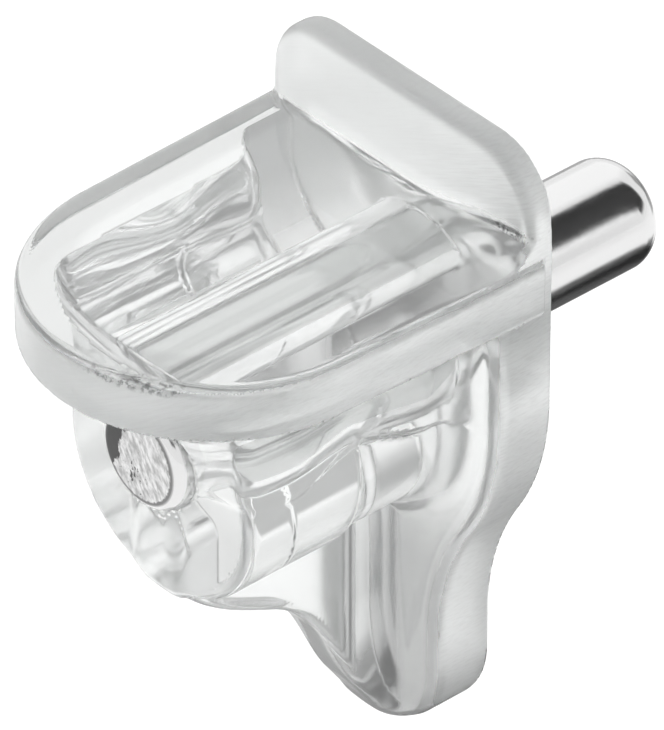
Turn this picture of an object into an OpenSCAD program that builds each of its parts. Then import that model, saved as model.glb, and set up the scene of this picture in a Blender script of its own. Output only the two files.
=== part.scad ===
// Plug-in shelf support: a clear moulded bracket pressed onto a steel pin.
// X runs along the cabinet side, +Y points into it, +Z is up.
// The origin lies on the pin's axis at the bracket's back face. Millimetres.

/* [Shelf plate] */
// Width of the plate where it meets the lip
plate_w = 16.6; // [15:0.1:20]
// Width of the plate's round nose
nose_w = 16; // [14:0.1:20]
// How far the plate reaches out from the cabinet side
plate_reach = 19.1; // [17:0.1:24]
// Thickness of the plate
plate_t = 2.6; // [2:0.1:4]
// Height of the seat above the pin's axis
seat_h = 7.35; // [7:0.05:9]
// Rounding of the plate's upper edge
plate_edge_r = 0.5; // [0.2:0.1:1]

/* [Back plate] */
// Width of the back plate
back_w = 16; // [14:0.1:18]
// Thickness of the back plate below the shelf
back_t = 3; // [2.4:0.1:3.6]
// Depth below the pin's axis where the sides start to draw in
shoulder_drop = 0.1; // [0:0.1:2]
// Depth below the pin's axis where the tail's straight sides start
waist_drop = 12.9; // [11.5:0.1:14]
// Width of the tail
tail_w = 8.8; // [7:0.1:11]
// Depth of the tail's round end below the pin's axis
tail_drop = 19.1; // [18:0.1:22]

/* [Lip] */
// Thickness of the lip behind the shelf's edge
lip_t = 1.25; // [1:0.05:2]
// Height of the lip above the seat
lip_h = 4.5; // [3.8:0.1:8]
// Radius of the lip's upper corners
lip_corner_r = 2.8; // [1:0.1:3.5]
// Inward lean of the lip's sides, in degrees
lip_lean = 3; // [0:0.5:6]
// Fillet between the lip and the seat
lip_fillet_r = 0.4; // [0.2:0.1:0.8]

/* [Boss] */
// Diameter of the boss round the pin
boss_d = 11.3; // [10:0.1:11.8]
// How far the boss's axis lies below the pin's axis
boss_drop = 1.35; // [0.8:0.05:1.6]
// Distance of the boss's front face from the cabinet side
boss_reach = 14.2; // [12:0.1:16]
// Rounding of the boss's front edge
boss_edge_r = 0.6; // [0.3:0.1:1]
// Distance of the boss's rear rim from the cabinet side
rim_reach = 8.1; // [6:0.05:10]
// Step from the boss's rear rim down to its neck
rim_step = 0.25; // [0.1:0.05:0.5]
// Fillet between the boss and the underside of the plate
saddle_r = 1.7; // [1.2:0.1:2]
// Fillet between the neck and the back plate
neck_fillet_r = 0.8; // [0.5:0.1:1.2]

/* [Web] */
// Thickness of the web under the boss
web_t = 2.2; // [1.5:0.1:4]
// Slope of the web's lower edge where it leaves the boss's front, in degrees
heel_slope = 51; // [40:1:58]
// Distance of the web's knee from the cabinet side
knee_reach = 8.75; // [8:0.05:10]
// Depth of the web's knee below the pin's axis
knee_drop = 10.5; // [9.8:0.1:11.5]
// Slope of the web's lower edge at the knee, in degrees
knee_slope = 25; // [15:1:40]
// Depth below the pin's axis where the web runs out on the tail
toe_drop = 17.8; // [16:0.1:18]
// Slope of the web's lower edge where it runs out, in degrees
toe_slope = 22; // [5:1:40]

/* [Steel pin] */
// Diameter of the pin
pin_d = 5; // [4:0.5:6]
// How far the pin stands out of the back face
pin_grip = 11.7; // [8:0.1:15]
// Rounding of the pin's end that goes into the cabinet side
pin_end_r = 1.4; // [0.4:0.1:1.8]
// How far the pin's cropped end stands out of the boss
pin_stub = 0.95; // [0:0.05:3]
// Rounding of the pin's cropped end
pin_crop_r = 0.3; // [0.1:0.05:0.6]
// Width of the ring groove where the pin leaves the back face
pin_groove_w = 0.6; // [0.6:0.05:0.9]
// Depth of that groove
pin_groove_t = 0.2; // [0.2:0.05:0.4]

/* [Hidden] */
$fn = 96;
eps = 0.01;
plate_under = seat_h - plate_t;
nose_r = nose_w / 2;
nose_y = nose_r - plate_reach;
boss_r = boss_d / 2;
neck_r = boss_r - rim_step;
tail_r = tail_w / 2;
tail_end_z = tail_r - tail_drop;
// The sides' two equal arcs: how far each turns, and its radius
draw_fall = waist_drop - shoulder_drop;
draw_turn = 2 * atan((back_w - tail_w) / 2 / draw_fall);
draw_r = draw_fall / (2 * sin(draw_turn));

// Draws a front-view outline as a slab between two distances from the cabinet side
module slab(from, to) {
    translate([0, -from, 0])
        rotate([90, 0, 0])
            linear_extrude(to - from)
                children();
}

module both_sides() {
    children();
    mirror([1, 0, 0])
        children();
}

// A body turned about the boss's axis; its outline is drawn as [radius, distance]
module turned_on_boss() {
    translate([0, 0, -boss_drop])
        rotate([90, 0, 0])
            rotate_extrude()
                children();
}

// The plate's D outline, drawn in by inset: straight sides taper to a round nose
module plate_outline(inset) {
    taper = atan((plate_w - nose_w) / 2 / (-lip_t / 2 - nose_y));
    side = plate_w / 2 - inset;
    r = nose_r - inset;
    translate([0, nose_y])
        circle(r);
    polygon([
        [-side, -lip_t / 2], [-r * cos(taper), nose_y - r * sin(taper)],
        [r * cos(taper), nose_y - r * sin(taper)], [side, -lip_t / 2]
    ]);
}

module shelf_plate() {
    tube_x = plate_w / 2 - plate_edge_r;
    tube_z = seat_h - plate_edge_r;
    nose_tube = nose_r - plate_edge_r;
    run = -lip_t / 2 - nose_y;
    taper = atan((tube_x - nose_tube) / run);
    translate([0, 0, plate_under])
        linear_extrude(plate_t - plate_edge_r)
            plate_outline(0);
    translate([0, 0, plate_under])
        linear_extrude(plate_t)
            plate_outline(plate_edge_r);
    translate([0, nose_y, tube_z])
        rotate_extrude()
            translate([nose_tube, 0])
                circle(plate_edge_r);
    both_sides()
        translate([tube_x, -lip_t / 2, tube_z])
            rotate([90, 0, -taper])
                cylinder(r = plate_edge_r, h = run / cos(taper));
}

// The lip's outline from the seat up: leaning sides and two round corners
module lip_outline() {
    top = seat_h + lip_h;
    corner_z = top - lip_corner_r;
    corner_x = back_w / 2 - (corner_z - seat_h) * tan(lip_lean) - lip_corner_r / cos(lip_lean);
    both_sides() {
        translate([corner_x, corner_z])
            circle(lip_corner_r);
        polygon([
            [0, plate_under], [back_w / 2, plate_under], [back_w / 2, seat_h],
            [corner_x + lip_corner_r * cos(lip_lean), corner_z + lip_corner_r * sin(lip_lean)],
            [corner_x, top], [0, top]
        ]);
    }
}

module lip() {
    slab(0, lip_t)
        lip_outline();
    difference() {
        translate([-back_w / 2 + lip_fillet_r, -lip_t - lip_fillet_r, seat_h - eps])
            cube([back_w - 2 * lip_fillet_r, lip_fillet_r + eps, lip_fillet_r + eps]);
        translate([-back_w, -lip_t - lip_fillet_r, seat_h + lip_fillet_r])
            rotate([0, 90, 0])
                cylinder(r = lip_fillet_r, h = 2 * back_w);
    }
}

// The back plate's outline below the seat: straight sides, one arc outwards
// and one inwards to the waist, then the tail with its round end
module back_outline() {
    bend_z = -shoulder_drop - draw_fall / 2;
    bend_x = (back_w + tail_w) / 4;
    centre_x = back_w / 2 - draw_r;
    translate([-back_w / 2, -shoulder_drop])
        square([back_w, plate_under + shoulder_drop + eps]);
    intersection() {
        translate([centre_x, -shoulder_drop])
            circle(draw_r);
        translate([-centre_x, -shoulder_drop])
            circle(draw_r);
        translate([-back_w / 2, bend_z])
            square([back_w, -shoulder_drop - bend_z]);
    }
    difference() {
        translate([-bend_x, -waist_drop])
            square([2 * bend_x, bend_z + waist_drop]);
        translate([tail_r + draw_r, -waist_drop])
            circle(draw_r);
        translate([-tail_r - draw_r, -waist_drop])
            circle(draw_r);
    }
    translate([-tail_r, tail_end_z])
        square([tail_w, -tail_end_z - waist_drop]);
    translate([0, tail_end_z])
        circle(tail_r);
}

module back_plate() {
    slab(0, back_t)
        back_outline();
}

// The boss's front part is a plain drum with a rounded front edge,
// its rear part a neck that flares into the back plate
module boss() {
    turned_on_boss() {
        square([boss_r - boss_edge_r, boss_reach]);
        square([neck_r, boss_reach - boss_edge_r]);
        translate([0, rim_reach])
            square([boss_r, boss_reach - boss_edge_r - rim_reach]);
        translate([boss_r - boss_edge_r, boss_reach - boss_edge_r])
            circle(boss_edge_r);
    }
    turned_on_boss()
        difference() {
            square([neck_r + neck_fillet_r, back_t + neck_fillet_r]);
            translate([neck_r + neck_fillet_r, back_t + neck_fillet_r])
                circle(neck_fillet_r);
        }
}

// Fills the gap between the boss and the plate, with a fillet down each side
module saddle() {
    fillet_z = plate_under - saddle_r;
    fillet_x = sqrt(pow(boss_r + saddle_r, 2) - pow(fillet_z + boss_drop, 2));
    slab(0, boss_reach - boss_edge_r)
        difference() {
            translate([-fillet_x, fillet_z - saddle_r / 2])
                square([2 * fillet_x, 1.5 * saddle_r + eps]);
            translate([fillet_x, fillet_z])
                circle(saddle_r);
            translate([-fillet_x, fillet_z])
                circle(saddle_r);
        }
}

function bezier(p, t) =
    pow(1 - t, 3) * p[0] + 3 * t * pow(1 - t, 2) * p[1]
    + 3 * t * t * (1 - t) * p[2] + pow(t, 3) * p[3];

function heading(angle) = [-cos(angle), -sin(angle)];

// The web's lower edge, drawn as [distance, height]: a belly that sinks ever more gently
// from the boss's front edge to the knee, then an ogee that ends on the tail's front face
module web_outline() {
    heel = [boss_reach, 0.4 - boss_drop - boss_r];
    knee = [knee_reach, -knee_drop];
    toe = [back_t, -toe_drop];
    belly = [heel, heel + 2.75 * heading(heel_slope),
        knee - 2.45 * heading(knee_slope), knee];
    ogee = [knee, knee + 3.5 * heading(knee_slope),
        toe - 2.9 * heading(toe_slope), toe];
    steps = 16;
    polygon(concat(
        [[0, -toe_drop], [0, 0], [boss_reach - boss_edge_r, -boss_drop]],
        [for (i = [0 : steps]) bezier(belly, i / steps)],
        [for (i = [1 : steps]) bezier(ogee, i / steps)]
    ));
}

module web() {
    rotate([90, 0, -90])
        linear_extrude(web_t, center = true)
            web_outline();
}

module support_body() {
    color([0.86, 0.89, 0.88, 0.45])
        difference() {
            union() {
                shelf_plate();
                lip();
                back_plate();
                boss();
                saddle();
                web();
            }
            rotate([90, 0, 0])
                translate([0, 0, -1])
                    cylinder(d = pin_d, h = boss_reach + 2);
        }
}

// One round bar: cropped and rough in front, well rounded where it enters the cabinet side
module steel_pin() {
    r = pin_d / 2;
    front = boss_reach + pin_stub;
    groove_end = pin_groove_w / 6;
    color([0.72, 0.73, 0.74])
        rotate([90, 0, 0])
            rotate_extrude()
                difference() {
                    union() {
                        translate([0, -pin_grip])
                            square([r - pin_end_r, front + pin_grip]);
                        translate([0, pin_end_r - pin_grip])
                            square([r, front + pin_grip - pin_end_r - pin_crop_r]);
                        translate([0, pin_end_r - pin_grip])
                            square([r - pin_crop_r, front + pin_grip - pin_end_r]);
                        translate([r - pin_crop_r, front - pin_crop_r])
                            circle(pin_crop_r);
                        intersection() {
                            translate([r - pin_end_r, pin_end_r - pin_grip])
                                circle(pin_end_r);
                            translate([0, -pin_grip])
                                square([r, pin_end_r + eps]);
                        }
                    }
                    translate([r - pin_groove_t, -groove_end])
                        square([pin_groove_t + eps, pin_groove_w]);
                }
}

support_body();
steel_pin();
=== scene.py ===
"""Clear shelf support on its steel pin: the moulding is meshed from a signed distance field in
millimetres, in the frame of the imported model, and shown in metres."""
import math

import bpy
import numpy as np
from mathutils import Matrix, Vector


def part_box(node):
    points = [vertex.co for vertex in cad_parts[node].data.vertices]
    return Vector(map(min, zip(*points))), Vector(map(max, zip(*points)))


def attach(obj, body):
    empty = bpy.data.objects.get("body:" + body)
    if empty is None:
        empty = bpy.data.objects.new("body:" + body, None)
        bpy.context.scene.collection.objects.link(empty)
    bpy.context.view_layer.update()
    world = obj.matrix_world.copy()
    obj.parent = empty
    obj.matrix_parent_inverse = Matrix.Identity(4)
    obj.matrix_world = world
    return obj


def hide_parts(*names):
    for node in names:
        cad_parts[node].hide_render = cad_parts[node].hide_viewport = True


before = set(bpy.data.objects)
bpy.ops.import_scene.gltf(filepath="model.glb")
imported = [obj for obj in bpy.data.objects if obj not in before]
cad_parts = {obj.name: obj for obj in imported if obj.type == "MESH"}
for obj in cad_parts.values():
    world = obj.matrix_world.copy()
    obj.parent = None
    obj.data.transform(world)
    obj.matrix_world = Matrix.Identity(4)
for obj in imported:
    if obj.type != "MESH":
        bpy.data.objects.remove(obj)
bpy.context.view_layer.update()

MM = 0.001

# ---------------------------------------------------------------- sizes, millimetres
body_lo, body_hi = (np.array(c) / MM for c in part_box("support_body"))
pin_lo, pin_hi = (np.array(c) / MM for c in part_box("steel_pin"))

PLATE_REACH = -body_lo[1]
PLATE_HALF = body_hi[0]
NOSE_R = 8.0
SEAT_Z = 7.35
PLATE_T = 2.6
UNDER_Z = SEAT_Z - PLATE_T
PLATE_EDGE_R = 0.5
PLATE_LOW_R = 0.15

BACK_HALF = 8.0
BACK_T = 3.0
BACK_EDGE_R = 0.8
BACK_REAR_R = 0.15
SHOULDER_Z = -0.1
WAIST_Z = -12.9
TAIL_R = 4.4
TAIL_END_Z = body_lo[2] + TAIL_R

LIP_T = 1.25
LIP_TOP = body_hi[2]
LIP_CORNER_R = 2.8
LIP_LEAN = math.radians(3)
LIP_FILLET_R = 0.3
LIP_FILLET_GROWS = 1.0
LIP_FILLET_SPAN = (0.5, 6.8)
LIP_FRONT_R = 0.6

BOSS_R = 5.65
BOSS_Z = -1.35
BOSS_REACH = 14.2
BOSS_EDGE_R = 0.6
RIM_REACH = 8.1
RIM_STEP = 0.25
RIM_EDGE_R = 0.1
FLARE_HALF = 6.0
FLARE_TAPER = 0.04
FLARE_Z = -0.15
FLARE_WAVE = 0.45
FLARE_CREST = 8.2
FLARE_PITCH = 7.8
FLARE_CORNER_R = 0.4
FLARE_BLEND_R = 0.25
FLARE_INSET = 0.3
FRONT_POST_R = 5.7
FRONT_CREASE_R = 8.3
FRONT_FOOT_Z = -1.0
FRONT_CURL = 0.75
FRONT_SCALE = 0.6
NECK_FILLET_R = 1.5

WEB_HALF = 1.1
WEB_FILLET_R = 0.8
WEB_EDGE_R = 0.45
HEEL_LIFT = 0.4
HEEL, HEEL_TURN, HEEL_PULL = np.array([BOSS_REACH, HEEL_LIFT + BOSS_Z - BOSS_R]), 51, 2.75
KNEE, KNEE_TURN, KNEE_PULLS = np.array([8.75, -10.5]), 25, (2.45, 3.5)
TOE, TOE_TURN, TOE_PULL = np.array([BACK_T, -17.8]), 22, 2.9
WEB_OVERRUN = 3

PIN_R = 2.5
BORE_GAP = 0.02
BORE_EDGE_R = 0.08
PIN_END_R = 1.5
PIN_FRONT = -pin_lo[1]
PIN_CROP_R = 0.6
PIN_SIDES = 128


# ---------------------------------------------------------------- distance fields
def join(a, b, r):
    """Union with a circular fillet of radius r."""
    return np.maximum(r, np.minimum(a, b)) - np.hypot(np.maximum(r - a, 0), np.maximum(r - b, 0))


def meet(a, b, r):
    """Intersection with a circular round of radius r."""
    return np.minimum(-r, np.maximum(a, b)) + np.hypot(np.maximum(r + a, 0), np.maximum(r + b, 0))


def smooth_step(a, b, v):
    """0 at a, 1 at b, smooth between them; a may be the greater."""
    t = np.clip((v - a) / (b - a), 0, 1)
    return t * t * (3 - 2 * t)


def bezier(p0, p1, p2, p3, n=40):
    t = np.linspace(0, 1, n)[:, None]
    return (1 - t) ** 3 * p0 + 3 * t * (1 - t) ** 2 * p1 + 3 * t * t * (1 - t) * p2 + t**3 * p3


def heading(degrees):
    """Unit step towards the cabinet side, turned down by an angle."""
    a = math.radians(degrees)
    return np.array([-math.cos(a), -math.sin(a)])


def web_edge():
    """Lower edge of the web as (reach, z) points, from the boss's front down to the tail."""
    at_heel, at_knee, at_toe = heading(HEEL_TURN), heading(KNEE_TURN), heading(TOE_TURN)
    belly = bezier(HEEL, HEEL + HEEL_PULL * at_heel, KNEE - KNEE_PULLS[0] * at_knee, KNEE)
    ogee = bezier(KNEE, KNEE + KNEE_PULLS[1] * at_knee, TOE - TOE_PULL * at_toe, TOE)
    before = HEEL - WEB_OVERRUN * at_heel
    after = TOE + WEB_OVERRUN * at_toe
    return np.vstack([before, belly, ogee[1:], after])


WEB_EDGE = web_edge()


def web_profile(u, z):
    """Distance in the plane X = 0 from the web's lower edge, negative above it."""
    u, z = np.broadcast_arrays(u, z)
    best = np.full(u.shape, np.inf)
    for a, b in zip(WEB_EDGE[:-1], WEB_EDGE[1:]):
        d = b - a
        t = np.clip(((u - a[0]) * d[0] + (z - a[1]) * d[1]) / (d @ d), 0, 1)
        best = np.minimum(best, (u - a[0] - t * d[0]) ** 2 + (z - a[1] - t * d[1]) ** 2)
    edge_z = np.interp(u, WEB_EDGE[::-1, 0], WEB_EDGE[::-1, 1])
    return np.where(z > edge_z, -1, 1) * np.sqrt(best)


def plate_outline(x, y):
    """D outline in the XY plane: tapered sides, round nose."""
    nose_y = NOSE_R - PLATE_REACH
    taper = math.atan((PLATE_HALF - NOSE_R) / (-LIP_T - nose_y))
    ax = np.abs(x)
    side = (ax - PLATE_HALF) * math.cos(taper) - (y + LIP_T) * math.sin(taper)
    nose = np.hypot(ax, y - nose_y) - NOSE_R
    forward = y - nose_y + ax * math.tan(taper) < 0
    return np.where(forward, nose, side)


def back_outline(x, z):
    """Shoulders, two arcs a side, tail with a round end."""
    ax = np.abs(x)
    fall = SHOULDER_Z - WAIST_Z
    turn = 2 * math.atan((BACK_HALF - TAIL_R) / fall)
    r = fall / (2 * math.sin(turn))
    out_x, in_x = BACK_HALF - r, TAIL_R + r
    outward = np.hypot(ax - out_x, z - SHOULDER_Z) - r
    inward = r - np.hypot(ax - in_x, z - WAIST_Z)
    above = (z - SHOULDER_Z) * (in_x - out_x) - (ax - out_x) * (WAIST_Z - SHOULDER_Z) > 0
    d = np.where(above, outward, inward)
    d = np.where(z > SHOULDER_Z, ax - BACK_HALF, d)
    d = np.where(z < WAIST_Z, ax - TAIL_R, d)
    return np.where(z < TAIL_END_Z, np.hypot(ax, z - TAIL_END_Z) - TAIL_R, d)


def lip_outline(x, z):
    """Leaning sides and round upper corners, from the seat up."""
    ax = np.abs(x)
    side = (ax - BACK_HALF) * math.cos(LIP_LEAN) + (z - SEAT_Z) * math.sin(LIP_LEAN)
    side = np.where(z < SEAT_Z, ax - BACK_HALF, side)
    return meet(side, z - LIP_TOP, LIP_CORNER_R)


def lip_foot(x):
    """How far the fillet at the lip's foot has opened, 0 to 1, towards the right corner."""
    return smooth_step(*LIP_FILLET_SPAN, x)


def moulding(x, y, z):
    """Signed distance of the moulded bracket; u is the reach from the cabinet side."""
    u = -y
    outline = plate_outline(x, y)
    plate = meet(outline, z - SEAT_Z, PLATE_EDGE_R)
    plate = meet(plate, UNDER_Z - z, PLATE_LOW_R)
    plate = np.maximum(plate, LIP_T * 0.5 - u)
    lip = meet(lip_outline(x, z), u - LIP_T, LIP_FRONT_R)
    lip = meet(lip, -u, BACK_REAR_R)
    lip = np.maximum(lip, UNDER_Z - z)
    back = meet(back_outline(x, z), u - BACK_T, BACK_EDGE_R)
    back = meet(back, -u, BACK_REAR_R)
    back = np.maximum(back, z - SEAT_Z + PLATE_T * 0.5)
    from_axis = np.hypot(x, z - BOSS_Z)
    drum = meet(from_axis - BOSS_R, RIM_REACH - u, RIM_EDGE_R)
    neck = np.maximum(from_axis - (BOSS_R - RIM_STEP), -u)
    boss = join(drum, neck, RIM_EDGE_R)
    boss = meet(boss, u - BOSS_REACH, BOSS_EDGE_R)
    web = meet(web_profile(u, z), np.abs(x) - WEB_HALF, WEB_EDGE_R)
    web = np.maximum(web, z - BOSS_Z)
    web = np.maximum(web, -u)
    web = meet(web, u - BOSS_REACH, WEB_EDGE_R)
    body = join(boss, np.maximum(flare(x, u, z), outline + FLARE_INSET), FLARE_BLEND_R)
    body = join(body, web, WEB_FILLET_R)
    body = join(body, back, NECK_FILLET_R)
    body = np.minimum(body, plate)
    foot = join(body, lip, LIP_FILLET_R + LIP_FILLET_GROWS * lip_foot(x))
    foot = np.maximum(foot, np.maximum(outline, lip_outline(x, z)))
    body = np.minimum(np.minimum(body, lip), foot)
    # A fillet between faces of one plane swells past it: the back plane and the tail cut it off
    tail_end = np.where(z < TAIL_END_Z, back_outline(x, z), -TAIL_R)
    body = np.maximum(body, np.maximum(-u, tail_end))
    bore = np.hypot(x, z) - (PIN_R + BORE_GAP)
    return meet(body, -bore, BORE_EDGE_R)


def flare(x, u, z):
    """The boss carried up to the plate: hollow flanks that wave along it, and a hollow front.

    Each flank is a hollow arc. It touches the boss in the direction (nx, nz) from its axis, and
    reaches the underside of the plate at half the flare's width.
    """
    ax = np.abs(x)
    rise = UNDER_Z - BOSS_Z
    half = FLARE_HALF + FLARE_TAPER * (BOSS_REACH - u)
    lift = FLARE_Z + FLARE_WAVE * np.cos(2 * np.pi * (u - FLARE_CREST) / FLARE_PITCH) - BOSS_Z
    nz = lift / BOSS_R
    nx = np.sqrt(1 - nz**2)
    reach = nx * half + nz * rise
    hollow = (half**2 + rise**2 + BOSS_R**2 - 2 * BOSS_R * reach) / (2 * (reach - BOSS_R))
    out = BOSS_R + hollow
    flank = hollow - np.hypot(ax - nx * out, z - BOSS_Z - nz * out)
    flank = meet(flank, nz * ax - nx * (z - BOSS_Z), FLARE_BLEND_R)
    flank = np.maximum(flank, ax - half)
    crease_u = BOSS_REACH - FRONT_POST_R + np.sqrt(np.maximum(FRONT_CREASE_R**2 - x**2, 0))
    step = np.maximum(crease_u - BOSS_REACH, 0)
    climb = np.clip((z - FRONT_FOOT_Z) / (UNDER_Z - FRONT_FOOT_Z), 0, 1) * FRONT_CURL
    curl = (1 - np.sqrt(1 - climb**2)) / (1 - math.sqrt(1 - FRONT_CURL**2))
    front = (u - BOSS_REACH - step * curl) * FRONT_SCALE
    fill = meet(flank, front, FLARE_CORNER_R)
    fill = np.maximum(fill, z - SEAT_Z + PLATE_T * 0.5)
    return np.maximum(fill, -u)


# ---------------------------------------------------------------- meshing
CELL = 0.18
SETTLE_STEPS = 3
FLAT_GRADIENT = 0.25


def gradient(field, p, step=0.01):
    """The field's gradient at each point, by central differences."""
    g = np.empty_like(p)
    for k in range(3):
        d = np.zeros(3)
        d[k] = step
        g[:, k] = field(*(p + d).T) - field(*(p - d).T)
    return g / (2 * step)


def cell_crossings(v, inside):
    """Grid cells that the surface passes through, and the mean crossing point in each."""
    n = np.array(v.shape) - 1
    count = np.zeros(n, np.int16)
    total = np.zeros((*n, 3), np.float32)
    for k in range(3):
        near, far = [slice(None)] * 3, [slice(None)] * 3
        near[k], far[k] = slice(0, -1), slice(1, None)
        near, far = tuple(near), tuple(far)
        cross = inside[near] != inside[far]
        with np.errstate(divide="ignore", invalid="ignore"):
            t = np.where(cross, v[near] / (v[near] - v[far]), 0)
        i, j = [m for m in range(3) if m != k]
        for di in (0, 1):
            for dj in (0, 1):
                part = [slice(None)] * 3
                part[i], part[j] = slice(di, di + n[i]), slice(dj, dj + n[j])
                part = tuple(part)
                count += cross[part]
                total[..., k] += t[part]
                total[..., i] += cross[part] * di
                total[..., j] += cross[part] * dj
    cells = np.argwhere(count > 0)
    at = tuple(cells.T)
    return cells, total[at] / count[at][:, None]


def crossing_quads(inside, number):
    """A quad round each grid edge that the surface crosses, facing out of the solid."""
    quads = []
    for k, i, j in ((0, 1, 2), (1, 2, 0), (2, 0, 1)):
        near, far = [slice(1, -1)] * 3, [slice(1, -1)] * 3
        near[k], far[k] = slice(0, -1), slice(1, None)
        near_in, far_in = inside[tuple(near)], inside[tuple(far)]
        edges = np.argwhere(near_in != far_in)
        leaving = near_in[tuple(edges.T)]
        edges = edges + 1
        edges[:, k] -= 1
        step_i, step_j = np.eye(3, dtype=int)[[i, j]]
        ring = [edges - step_i - step_j, edges - step_j, edges, edges - step_i]
        quad = np.stack([number[tuple(cell.T)] for cell in ring], 1)
        quads.append(np.where(leaving[:, None], quad, quad[:, ::-1]))
    return np.vstack(quads)


def surface_net(field, lo, hi, h):
    """The field's zero surface: points, quads and the surface's normal at each point.

    One point a cell of size h, moved onto the surface along the field's gradient.
    """
    axes = [np.arange(lo[k] - 1.5 * h, hi[k] + 2.5 * h, h) for k in range(3)]
    v = field(axes[0][:, None, None], axes[1][None, :, None], axes[2][None, None, :])
    v = np.ascontiguousarray(np.broadcast_to(v, [len(a) for a in axes]))
    inside = v < 0
    cells, offset = cell_crossings(v, inside)
    number = np.full(np.array(v.shape) - 1, -1)
    number[tuple(cells.T)] = np.arange(len(cells))
    p = np.array([a[0] for a in axes]) + (cells + offset) * h
    for _ in range(SETTLE_STEPS):
        g = gradient(field, p)
        size = np.maximum((g**2).sum(1), FLAT_GRADIENT)
        p = p - np.clip(field(*p.T) / size, -h, h)[:, None] * g
    p = np.clip(p, lo, hi)
    g = gradient(field, p)
    return p, crossing_quads(inside, number).tolist(), g / np.linalg.norm(g, axis=1)[:, None]


def mesh_object(name, points, faces, normals=None):
    """A smooth object from points in millimetres."""
    mesh = bpy.data.meshes.new(name)
    mesh.from_pydata((np.asarray(points) * MM).tolist(), [], faces)
    mesh.shade_smooth()
    if normals is not None:
        mesh.normals_split_custom_set_from_vertices(normals.tolist())
    obj = bpy.data.objects.new(name, mesh)
    bpy.context.scene.collection.objects.link(obj)
    return obj


def rectangle(name, half_w, half_h):
    """One flat face about the origin, facing up."""
    corners = [(-half_w, -half_h, 0), (half_w, -half_h, 0), (half_w, half_h, 0),
               (-half_w, half_h, 0)]
    return mesh_object(name, corners, [(0, 1, 2, 3)])


def lathe(profile, segments):
    """Turns (radius, y) points about the pin's axis into vertices and faces."""
    angles = np.arange(segments) * 2 * math.pi / segments
    points, faces = [], []
    for r, y in profile:
        points += [(r * math.cos(a), y, r * math.sin(a)) for a in angles]
    for i in range(len(profile) - 1):
        for s in range(segments):
            t = (s + 1) % segments
            faces.append((i * segments + s, (i + 1) * segments + s,
                          (i + 1) * segments + t, i * segments + t))
    last = (len(profile) - 1) * segments
    faces.append(tuple(range(segments)))
    faces.append(tuple(last + s for s in reversed(range(segments))))
    return points, faces


def steel_pin():
    """The bar from its cropped end, through the bore, to its round end in the cabinet side."""
    crop_y, end_y = -PIN_FRONT + PIN_CROP_R, pin_hi[1] - PIN_END_R
    crop_turn = np.linspace(0, math.pi / 2, 9)
    end_turn = np.linspace(0, math.pi / 2, 17)[1:]
    profile = [(PIN_R - PIN_CROP_R * (1 - math.sin(a)), crop_y - PIN_CROP_R * math.cos(a))
               for a in crop_turn]
    profile += [(PIN_R, y) for y in np.linspace(crop_y, end_y, 30)[1:]]
    profile += [(PIN_R - PIN_END_R * (1 - math.cos(a)), end_y + PIN_END_R * math.sin(a))
                for a in end_turn]
    return mesh_object("steel_pin_detail", *lathe(profile, PIN_SIDES))


# ---------------------------------------------------------------- materials
def material(name):
    """A new material, its node tree and its shader."""
    m = bpy.data.materials.new(name)
    m.use_nodes = True
    return m, m.node_tree, m.node_tree.nodes["Principled BSDF"]


def node(tree, kind, **values):
    """A new node, with its input sockets or its settings given by name."""
    n = tree.nodes.new(kind)
    for name, value in values.items():
        if name in n.inputs:
            n.inputs[name].default_value = value
        else:
            setattr(n, name, value)
    return n


def feed(tree, source, socket):
    """Links a socket, or sets it where the source is a plain number."""
    if isinstance(source, (int, float)):
        socket.default_value = source
    else:
        tree.links.new(source, socket)


def ramp(tree, source, lo, hi, to_lo, to_hi, shape="LINEAR"):
    """Maps a socket's value from lo..hi to to_lo..to_hi, held at the ends."""
    n = node(tree, "ShaderNodeMapRange", interpolation_type=shape)
    tree.links.new(source, n.inputs["Value"])
    for name, value in zip(("From Min", "From Max", "To Min", "To Max"), (lo, hi, to_lo, to_hi)):
        n.inputs[name].default_value = value
    return n.outputs["Result"]


def math_node(tree, operation, *sources):
    """A Math node fed with sockets or plain numbers."""
    n = node(tree, "ShaderNodeMath", operation=operation)
    for socket, source in zip(n.inputs, sources):
        feed(tree, source, socket)
    return n.outputs[0]


def times(tree, a, b):
    return math_node(tree, "MULTIPLY", a, b)


def length(tree, a, b):
    """Square root of a squared plus b squared."""
    return math_node(tree, "SQRT", math_node(tree, "ADD", times(tree, a, a), times(tree, b, b)))


def grey(tree, value, tint=(1.0, 1.0, 1.0)):
    """A grey of the brightness given by a socket, leaned towards a tint."""
    n = tree.nodes.new("ShaderNodeCombineColor")
    for name, part in zip(("Red", "Green", "Blue"), tint):
        tree.links.new(times(tree, value, part), n.inputs[name])
    return n.outputs["Color"]


def blend(tree, mask, a, b):
    """a where the mask is 0, b where it is 1; a and b are sockets or numbers."""
    n = node(tree, "ShaderNodeMix", data_type="FLOAT")
    for name, source in (("Factor", mask), ("A", a), ("B", b)):
        feed(tree, source, n.inputs[name])
    return n.outputs["Result"]


def noise(tree, vector, scale, detail=2.0):
    n = node(tree, "ShaderNodeTexNoise", Scale=scale, Detail=detail)
    tree.links.new(vector, n.inputs["Vector"])
    return n.outputs["Fac"]


def stretched(tree, vector, scale, turn=(0, 0, 0)):
    """Coordinates in which a texture is turned and drawn out along an axis."""
    n = node(tree, "ShaderNodeMapping", vector_type="TEXTURE")
    n.inputs["Scale"].default_value = scale
    n.inputs["Rotation"].default_value = turn
    tree.links.new(vector, n.inputs["Vector"])
    return n.outputs["Vector"]


def bump(tree, shader, height, distance, strength):
    n = node(tree, "ShaderNodeBump", Distance=distance)
    tree.links.new(strength, n.inputs["Strength"])
    tree.links.new(height, n.inputs["Height"])
    tree.links.new(n.outputs["Normal"], shader.inputs["Normal"])


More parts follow.
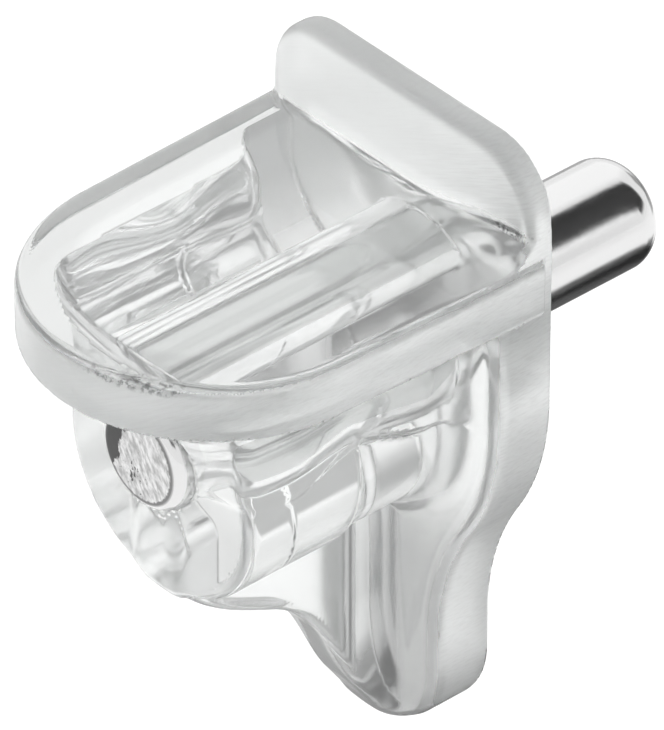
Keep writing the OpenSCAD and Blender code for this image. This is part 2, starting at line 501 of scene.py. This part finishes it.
def object_place(tree):
    """The object's own coordinates: the vector, and X, Y and Z apart."""
    place = node(tree, "ShaderNodeTexCoord").outputs["Object"]
    parts = node(tree, "ShaderNodeSeparateXYZ")
    tree.links.new(place, parts.inputs[0])
    return place, parts.outputs["X"], parts.outputs["Y"], parts.outputs["Z"]


def marked(tree, name):
    """A value that mark_finish() wrote at the vertices."""
    return node(tree, "ShaderNodeAttribute", attribute_name=name).outputs["Fac"]


# Heights and reaches of the finishes in metres, noise scales per metre
PLASTIC_TRANSMISSION = 0.86
PLASTIC_IOR = 1.5
PLASTIC_TINT = (0.987, 1.0, 0.994)
ROUGH_WAVE = 900.0
ROUGH_POLISHED = (0.03, 0.07)
ROUGH_FROSTED = (0.3, 0.36)
CLEAR_PLATE, CLEAR_MARGIN = 0.985, 0.8
# Painted shade: the clear plastic's base colour is darkened towards the low tail, where it sits in
# shade.
TAIL_PAINTED_SHADE = 0.34
TAIL_FROM_Z, TAIL_TO_Z = -0.004, -0.009
TAIL_FROM_Y, TAIL_TO_Y = -0.006, -0.0035
# Frosted white with painted light from above: lighter from the rim up to the lip's top.
FROST_WHITE_LOW, FROST_PAINTED_LIGHT_TOP = 0.96, 0.995
RIM_Z, LIP_Z = 0.005, 0.009
FAN_STRETCH, FAN_TURN, FAN_SCALE = (0.18, 1.0, 3.5), (0, 1.1, 0), 2200.0
FAN_LEFT, FAN_RIGHT, FAN_REACH = 0.03, 0.16, 0.007
# Dark flecks along the nose's top edge and along the foot of the lip.
FLECK_SCALE, FLECK_GREY = 5000.0, 0.15


def clear_plastic():
    """Clear where it was moulded against polished steel, matt and brushed on lip and edges."""
    m, tree, shader = material("clear_plastic")
    link = tree.links.new
    shader.inputs["Transmission Weight"].default_value = PLASTIC_TRANSMISSION
    shader.inputs["IOR"].default_value = PLASTIC_IOR
    place, x, y, z = object_place(tree)
    frost = marked(tree, "frost")

    wave = noise(tree, place, ROUGH_WAVE)
    matt = ramp(tree, wave, 0.3, 0.7, *ROUGH_FROSTED)
    polish = ramp(tree, wave, 0.0, 1.0, *ROUGH_POLISHED)
    link(blend(tree, frost, polish, matt), shader.inputs["Roughness"])

    # Painted shade: the base colour darkens towards the low tail.
    tail = times(tree, ramp(tree, z, TAIL_TO_Z, TAIL_FROM_Z, 1.0, 0.0),
                 ramp(tree, y, TAIL_FROM_Y, TAIL_TO_Y, 0.0, 1.0))
    clear = times(tree, ramp(tree, marked(tree, "haze"), 0.0, 1.0, CLEAR_PLATE, CLEAR_MARGIN),
                  ramp(tree, tail, 0.0, 1.0, 1.0, TAIL_PAINTED_SHADE))

    # Painted light: the frosted white gets lighter from the rim up to the lip's top, as if lit from
    # above.
    white = ramp(tree, z, RIM_Z, LIP_Z, FROST_WHITE_LOW, FROST_PAINTED_LIGHT_TOP)
    fan = noise(tree, stretched(tree, place, FAN_STRETCH, FAN_TURN), FAN_SCALE)
    hairlines = times(tree, ramp(tree, fan, 0.4, 0.7, 0.0, 1.0),
                      ramp(tree, x, 0.0, FAN_REACH, FAN_LEFT, FAN_RIGHT))
    brushed = times(tree, white, math_node(tree, "SUBTRACT", 1.0, hairlines))

    face = blend(tree, frost, clear, brushed)
    # Dark flecks along the nose's top edge and along the foot of the lip.
    flecks = ramp(tree, noise(tree, place, FLECK_SCALE, 3.0), 0.5, 0.6, 0.0, 1.0)
    face = blend(tree, times(tree, marked(tree, "dark_flecks"), flecks), face, FLECK_GREY)
    link(grey(tree, face, PLASTIC_TINT), shader.inputs["Base Color"])
    return m


STEEL_GREY = 0.75
STEEL_ROUGH = (0.08, 0.2)
GRAIN_STRETCH, GRAIN_SCALE = (1.0, 4.0, 1.0), 4000.0
TORN_STRETCH, TORN_TURN, TORN_SCALE = (0.6, 1.0, 1.5), (0, -0.5, 0), 3800.0
TORN_GREY, TORN_ROUGH, TORN_DEPTH = (0.45, 0.85), 0.5, 0.00006
BITE_STRETCH, BITE_TURN, BITE_SCALE = (1.6, 1.0, 1.0), (0, 0.9, 0), 3000.0
BITE_SLANT, BITE_JAG, BITE_EDGE = -0.3, 0.0011, (-0.00068, -0.0006)
# Painted dark reflection: the bitten crescent's base colour is near black; its low roughness is
# real.
BITE_PAINTED_REFLECTION, BITE_ROUGH = 0.07, 0.25
# Painted shade: a pit on the torn face is given a dark base colour.
PIT_AT, PIT_REACH, PIT_SCALE, PIT_PAINTED_SHADE = (-0.0003, -0.0009), 0.0012, 5200.0, 0.12
BURR_R = (PIN_R - PIN_CROP_R) * MM
BURR_JAG, BURR_EDGE, BURR_SCALE, BURR_GREY = 0.0002, (0.0001, 0.00016), 6000.0, 0.25
CUT_EDGE = (0.00002, 0.00006)


def pin_steel():
    """Ground steel; the cropped end is torn; where the blade bit, a smooth crescent with a painted
    dark reflection.
    """
    m, tree, shader = material("pin_steel")
    link = tree.links.new
    shader.inputs["Metallic"].default_value = 1.0
    place, x, y, z = object_place(tree)
    grain = noise(tree, stretched(tree, place, GRAIN_STRETCH), GRAIN_SCALE, 3.0)
    torn = noise(tree, stretched(tree, place, TORN_STRETCH, TORN_TURN), TORN_SCALE, 5.0)
    jag = noise(tree, stretched(tree, place, BITE_STRETCH, BITE_TURN), BITE_SCALE)

    front = -PIN_FRONT * MM
    cut = ramp(tree, y, front + CUT_EDGE[0], front + CUT_EDGE[1], 1.0, 0.0)
    slant = math_node(tree, "MULTIPLY_ADD", z, BITE_SLANT, x)
    ragged = math_node(tree, "MULTIPLY_ADD", jag, BITE_JAG, slant)
    bite = ramp(tree, ragged, *BITE_EDGE, 1.0, 0.0)

    # Painted shade: a dark spot in a pit on the torn face.
    far = length(tree, math_node(tree, "SUBTRACT", x, PIT_AT[0]),
                 math_node(tree, "SUBTRACT", z, PIT_AT[1]))
    spot = math_node(tree, "ADD", noise(tree, place, PIT_SCALE, 1.0),
                     ramp(tree, far, 0.0, PIT_REACH, 0.1, -0.1))
    pit = ramp(tree, spot, 0.66, 0.7, 0.0, 1.0)
    edge = math_node(tree, "MULTIPLY_ADD", noise(tree, place, BURR_SCALE, 1.0), BURR_JAG,
                     length(tree, x, z))
    burr = ramp(tree, edge, BURR_R + BURR_EDGE[0], BURR_R + BURR_EDGE[1], 0.0, 1.0)

    fracture = blend(tree, pit, ramp(tree, torn, 0.35, 0.65, *TORN_GREY), PIT_PAINTED_SHADE)
    fracture = blend(tree, burr, fracture, BURR_GREY)
    # Painted dark reflection: the crescent where the blade bit takes a near-black base colour.
    face = blend(tree, bite, fracture, BITE_PAINTED_REFLECTION)
    link(grey(tree, blend(tree, cut, STEEL_GREY, face)), shader.inputs["Base Color"])

    ground = ramp(tree, grain, 0.0, 1.0, *STEEL_ROUGH)
    cropped = blend(tree, bite, TORN_ROUGH, BITE_ROUGH)
    link(blend(tree, cut, ground, cropped), shader.inputs["Roughness"])
    tear = times(tree, cut, math_node(tree, "SUBTRACT", 1.0, bite))
    bump(tree, shader, torn, TORN_DEPTH, ramp(tree, tear, 0.0, 1.0, 0.02, 0.9))
    return m


# Where each mark starts and where it is full, in millimetres; UPRIGHT is a share of the normal
UPRIGHT = (0.5, 0.9)
LIP_FROST = (0.1, 0.4)
RIM_FROST = (-0.1, 0.1)
RIM_DEPTH = 0.7
SIDE_FROST = (-0.9, -0.5)
TAIL_FROST, TAIL_FROST_Y, TAIL_FROST_Z = 0.3, (-5.5, -3.8), (-5.0, -7.5)
HAZE_MARGIN = (-2.6, -1.9)
# Bands of dark flecks along the nose's top edge and along the foot of the lip.
NOSE_FLECK_BAND, NOSE_FLECK_INSET, NOSE_FLECK_DROP = (0.35, 0.1), 0.15, (0.5, 0.3)
NOSE_FLECK_Y, NOSE_FLECK_LEFT, NOSE_FLECK_RIGHT = -15, (0.5, 2.5), (5.5, 4.6)
SEAM_FLECK_BAND, SEAM_FLECK_Y = (0.25, 0.05), -3
SEAM_FLECK_LEFT, SEAM_FLECK_RIGHT = (4.5, 6.5), (8.1, 7.6)


def mark_finish(obj, points, normals):
    """Writes at each vertex how matt it is, where it has dark flecks, and how hazy."""
    x, y, z = points.T
    plate_edge = plate_outline(x, y)
    foot_z = SEAT_Z + LIP_FILLET_GROWS * lip_foot(x)

    lip = smooth_step(*LIP_FROST, z - foot_z)
    rim = smooth_step(*RIM_FROST, z - UNDER_Z) \
        * smooth_step(*UPRIGHT, np.hypot(normals[:, 0], normals[:, 1])) * (plate_edge > -RIM_DEPTH)
    side = smooth_step(*UPRIGHT, np.abs(normals[:, 0])) \
        * smooth_step(*SIDE_FROST, back_outline(x, z)) * (y > -BACK_T)
    behind = smooth_step(*TAIL_FROST_Y, y) * (z < UNDER_Z)
    tail = TAIL_FROST * np.maximum(behind, smooth_step(*TAIL_FROST_Z, z))
    frost = np.maximum(np.maximum(lip, rim), np.maximum(side, tail))

    nose = smooth_step(*NOSE_FLECK_BAND, np.abs(plate_edge + NOSE_FLECK_INSET)) \
        * smooth_step(-NOSE_FLECK_DROP[0], -NOSE_FLECK_DROP[1], z - SEAT_Z) * (y < NOSE_FLECK_Y) \
        * smooth_step(*NOSE_FLECK_LEFT, x) * smooth_step(*NOSE_FLECK_RIGHT, x)
    seam = smooth_step(*SEAM_FLECK_BAND, np.abs(z - foot_z)) * (y > SEAM_FLECK_Y) \
        * smooth_step(*SEAM_FLECK_LEFT, x) * smooth_step(*SEAM_FLECK_RIGHT, x)
    haze = smooth_step(*HAZE_MARGIN, plate_edge) * (z > UNDER_Z + RIM_FROST[0])

    for name, value in (("frost", frost), ("dark_flecks", np.maximum(nose, seam)), ("haze", haze)):
        layer = obj.data.attributes.new(name, "FLOAT", "POINT")
        layer.data.foreach_set("value", value.astype(np.float32))


# ---------------------------------------------------------------- pieces
points, quads, normals = surface_net(moulding, body_lo, body_hi, CELL)
body = mesh_object("moulded_body", points, quads, normals)
mark_finish(body, points, normals)
body.data.materials.append(clear_plastic())
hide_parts("support_body")
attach(body, "root")

pin = steel_pin()
pin.data.materials.append(pin_steel())
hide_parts("steel_pin")
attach(pin, "root")

# ---------------------------------------------------------------- camera
CAM_RIGHT = Vector((0.65949, 0.75171, 0.0))
CAM_LOOK = Vector((-0.60407, 0.52996, -0.59519))
CAM_UP = Vector((-0.44741, 0.39252, 0.80359))
CAM_AT = Vector((270.43, -242.05, 266.09)) * MM
CAM_SENSOR, CAM_LENS = 36.0, 542.0
CAM_NEAR, CAM_FAR = 0.01, 20
cam_data = bpy.data.cameras.new("camera")
cam_data.sensor_width = CAM_SENSOR
cam_data.lens = CAM_LENS
cam_data.clip_start, cam_data.clip_end = CAM_NEAR, CAM_FAR
cam = bpy.data.objects.new("camera", cam_data)
bpy.context.scene.collection.objects.link(cam)
cam_axes = Matrix((CAM_RIGHT, CAM_UP, -CAM_LOOK)).transposed().to_4x4()
cam.matrix_world = Matrix.Translation(CAM_AT) @ cam_axes
bpy.context.scene.camera = cam

# ---------------------------------------------------------------- stage and light
WHITE, BLACK = (1, 1, 1, 1), (0, 0, 0, 1)
FLOOR_Z = -80
FLOOR_HALF = 4000
PAPER_GREY, PAPER_ROUGH, PAPER_GLOW = (0.85, 0.85, 0.85, 1), 0.9, 0.35
SKY_LIGHT, SKY_SEEN = 0.85, 1.0


def seen_directly(tree):
    """1 for camera, glossy and transmission rays, 0 for the rest."""
    rays = node(tree, "ShaderNodeLightPath").outputs
    some = math_node(tree, "MAXIMUM", rays["Is Camera Ray"], rays["Is Glossy Ray"])
    return math_node(tree, "MAXIMUM", some, rays["Is Transmission Ray"])


def paper_floor():
    """A pale floor, lifted towards white where it is seen directly."""
    floor = rectangle("floor", FLOOR_HALF, FLOOR_HALF)
    floor.location.z = FLOOR_Z * MM
    paper, tree, shader = material("floor_paper")
    shader.inputs["Base Color"].default_value = PAPER_GREY
    shader.inputs["Roughness"].default_value = PAPER_ROUGH
    shader.inputs["Emission Color"].default_value = WHITE
    tree.links.new(times(tree, seen_directly(tree), PAPER_GLOW), shader.inputs["Emission Strength"])
    floor.data.materials.append(paper)


def studio_world():
    """Even white light from all round, a little brighter where it is seen."""
    world = bpy.data.worlds.new("studio")
    bpy.context.scene.world = world
    world.use_nodes = True
    tree = world.node_tree
    background = tree.nodes["Background"]
    background.inputs["Color"].default_value = WHITE
    level = ramp(tree, seen_directly(tree), 0.0, 1.0, SKY_LIGHT, SKY_SEEN)
    tree.links.new(level, background.inputs["Strength"])


def card(name, toward, distance, width, height, soft=0.3, cover=1.0, glow=0.0, through=True):
    """A soft-edged studio card facing the object, in millimetres.

    It is a black flag, or a softbox where it glows. The camera never sees it, only a softbox
    lights matt surfaces, and a flag can be kept out of what the clear plastic shows through.
    """
    obj = rectangle(name, width / 2, height / 2)
    aim = Vector(toward).normalized()
    obj.matrix_world = (Matrix.Translation(aim * distance * MM)
                        @ aim.to_track_quat("Z", "Y").to_matrix().to_4x4())
    m, tree, shader = material(name)
    tree.nodes.remove(shader)
    _, x, y, _ = object_place(tree)
    edges = []
    for across, size in ((x, width), (y, height)):
        half = size / 2 * MM
        away = math_node(tree, "ABSOLUTE", across)
        edges.append(ramp(tree, away, half, half * (1 - soft), 0.0, 1.0, "SMOOTHSTEP"))
    if glow:
        face = node(tree, "ShaderNodeEmission", Color=WHITE, Strength=glow)
    else:
        face = node(tree, "ShaderNodeBsdfDiffuse", Color=BLACK)
    mix = node(tree, "ShaderNodeMixShader")
    tree.links.new(times(tree, times(tree, *edges), cover), mix.inputs[0])
    tree.links.new(node(tree, "ShaderNodeBsdfTransparent").outputs[0], mix.inputs[1])
    tree.links.new(face.outputs[0], mix.inputs[2])
    tree.links.new(mix.outputs[0], tree.nodes["Material Output"].inputs["Surface"])
    obj.data.materials.append(m)
    obj.visible_camera = obj.visible_shadow = False
    obj.visible_diffuse = glow > 0
    obj.visible_transmission = through


paper_floor()
studio_world()
card("flag_above", (0.35, 0.53, 0.77), 300, 230, 600, cover=0.97, through=False)
card("flag_below", (0.10, 0.53, -0.84), 70, 90, 60, cover=0.9, through=False)
card("flag_left", (-0.97, -0.26, 0.0), 300, 110, 170, soft=0.5, cover=0.7)
card("flag_behind", (-0.26, 0.97, 0.0), 300, 110, 170, soft=0.5, cover=0.6)
card("flag_low", (-0.62, 0.74, -0.26), 150, 300, 56, cover=0.6)
card("flag_front", (0.60, -0.53, 0.60), 350, 160, 160, cover=0.8)
card("flag_floor", (-0.30, 0.17, -0.94), 70, 52, 52, soft=0.4, cover=0.65)
card("flag_edge", (0.19, 0.72, -0.67), 90, 52, 40, soft=0.4, cover=0.75)
card("flag_right", (0.95, 0.25, 0.17), 250, 200, 260, soft=0.5, cover=0.35)
card("softbox_back", (-0.60, 0.53, 0.60), 400, 500, 500, soft=0.5, glow=1.2)
card("softbox_right", (0.53, 0.63, 0.57), 400, 400, 400, soft=0.5, glow=1.2)

bpy.context.scene.view_settings.view_transform = "Standard"
